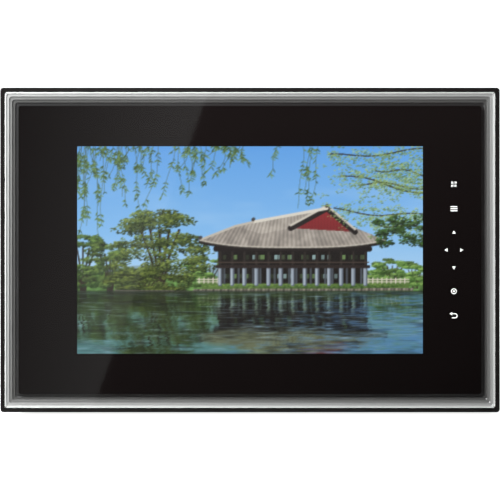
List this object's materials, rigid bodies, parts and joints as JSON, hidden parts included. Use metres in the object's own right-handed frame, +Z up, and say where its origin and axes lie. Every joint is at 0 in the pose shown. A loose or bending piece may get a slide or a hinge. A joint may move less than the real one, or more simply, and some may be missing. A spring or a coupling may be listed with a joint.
{
  "type": "digital photo frame",
  "caption": "Landscape digital photo frame with a black glossy front, a stepped silver border, touch keys at the right and a fold-out rear leg.",
  "frame": {"origin": "centre of the whole object's box, on the table that it stands on", "axes": "+X to the right seen from the front, +Y from the face to the back, +Z up; the body leans back 14 degrees"},
  "size_m": [0.22, 0.0684, 0.141],
  "materials": {
    "clear_acrylic": "polished clear acrylic",
    "white_ink": "white screen print",
    "black_ink": "black screen print behind the panel",
    "silver_plate": "satin silver that fades to black inwards",
    "gloss_black_plastic": "polished black plastic",
    "matt_black_plastic": "fine-grained black plastic",
    "leg_plastic": "fine-grained black plastic",
    "knob_plastic": "matt black plastic",
    "socket_plastic": "moulded black plastic",
    "foam": "closed-cell foam",
    "black_rubber": "matt rubber",
    "tinned_steel": "tin plated",
    "hinge_steel": "nickel plated",
    "pin_steel": "ground",
    "zinc_screw": "zinc plated",
    "black_screw": "black zinc",
    "cell_steel": "nickel plated",
    "aluminium_can": "plain can",
    "display_glass": "lit display",
    "diffuser": "white diffuser",
    "led_strip": "white board with lamps",
    "film_circuit": "amber film",
    "circuit_board": "green solder resist",
    "gold_copper": "gold plated",
    "chip_resin": "moulded resin",
    "ferrite": "sintered ferrite",
    "clear_film": "thin milky film",
    "speaker_paper": "pressed paper cone",
    "wire_pvc": "red insulation"
  },
  "bodies": {
    "frame": {"front_panel": "clear_acrylic", "key_symbols": "white_ink", "print_mask": "black_ink", "stepped_ring": "silver_plate", "front_bezel": "gloss_black_plastic", "lcd_gasket": "foam", "lcd_frame": "tinned_steel", "lcd_glass": "display_glass", "light_guide": "diffuser", "backlight_strip": "led_strip", "lcd_tray": "tinned_steel", "lcd_brackets": "tinned_steel", "lcd_screws": "zinc_screw", "lcd_ribbon": "film_circuit", "touch_board": "circuit_board", "touch_pads": "gold_copper", "touch_chip": "chip_resin", "touch_ribbon": "film_circuit", "insulating_sheet": "clear_film", "main_board": "circuit_board", "processor": "chip_resin", "memory_chips": "chip_resin", "flash_chip": "chip_resin", "crystal": "tinned_steel", "inductors": "ferrite", "capacitors": "aluminium_can", "card_socket": "tinned_steel", "usb_socket": "tinned_steel", "mini_usb_socket": "tinned_steel", "earphone_jack": "socket_plastic", "dc_jack": "socket_plastic", "dc_pin": "gold_copper", "switch_body": "tinned_steel", "cell_holder": "socket_plastic", "coin_cell": "cell_steel", "speaker_baskets": "zinc_screw", "speaker_cones": "speaker_paper", "speaker_magnets": "cell_steel", "speaker_gaskets": "foam", "speaker_screws": "zinc_screw", "speaker_wires": "wire_pvc", "board_screws": "zinc_screw", "rear_cover": "matt_black_plastic", "housing_screws": "black_screw", "hinge_bracket": "hinge_steel", "hinge_pin": "pin_steel", "hinge_washers": "pin_steel", "bracket_screws": "black_screw", "base_feet": "black_rubber"},
    "leg": {"stand_leg": "leg_plastic", "leg_pad": "black_rubber"},
    "switch": {"switch_slider": "knob_plastic"}
  },
  "joints": [
    {"name": "leg_hinge", "type": "hinge", "parent": "frame", "child": "leg", "pos_m": [0, 0.00707, 0.08586], "axis": [-1, 0, 0], "range_deg": [0, 30]},
    {"name": "switch_slide", "type": "slide", "parent": "frame", "child": "switch", "axis": [1, 0, 0], "range_m": [0, 0.003]}
  ]
}
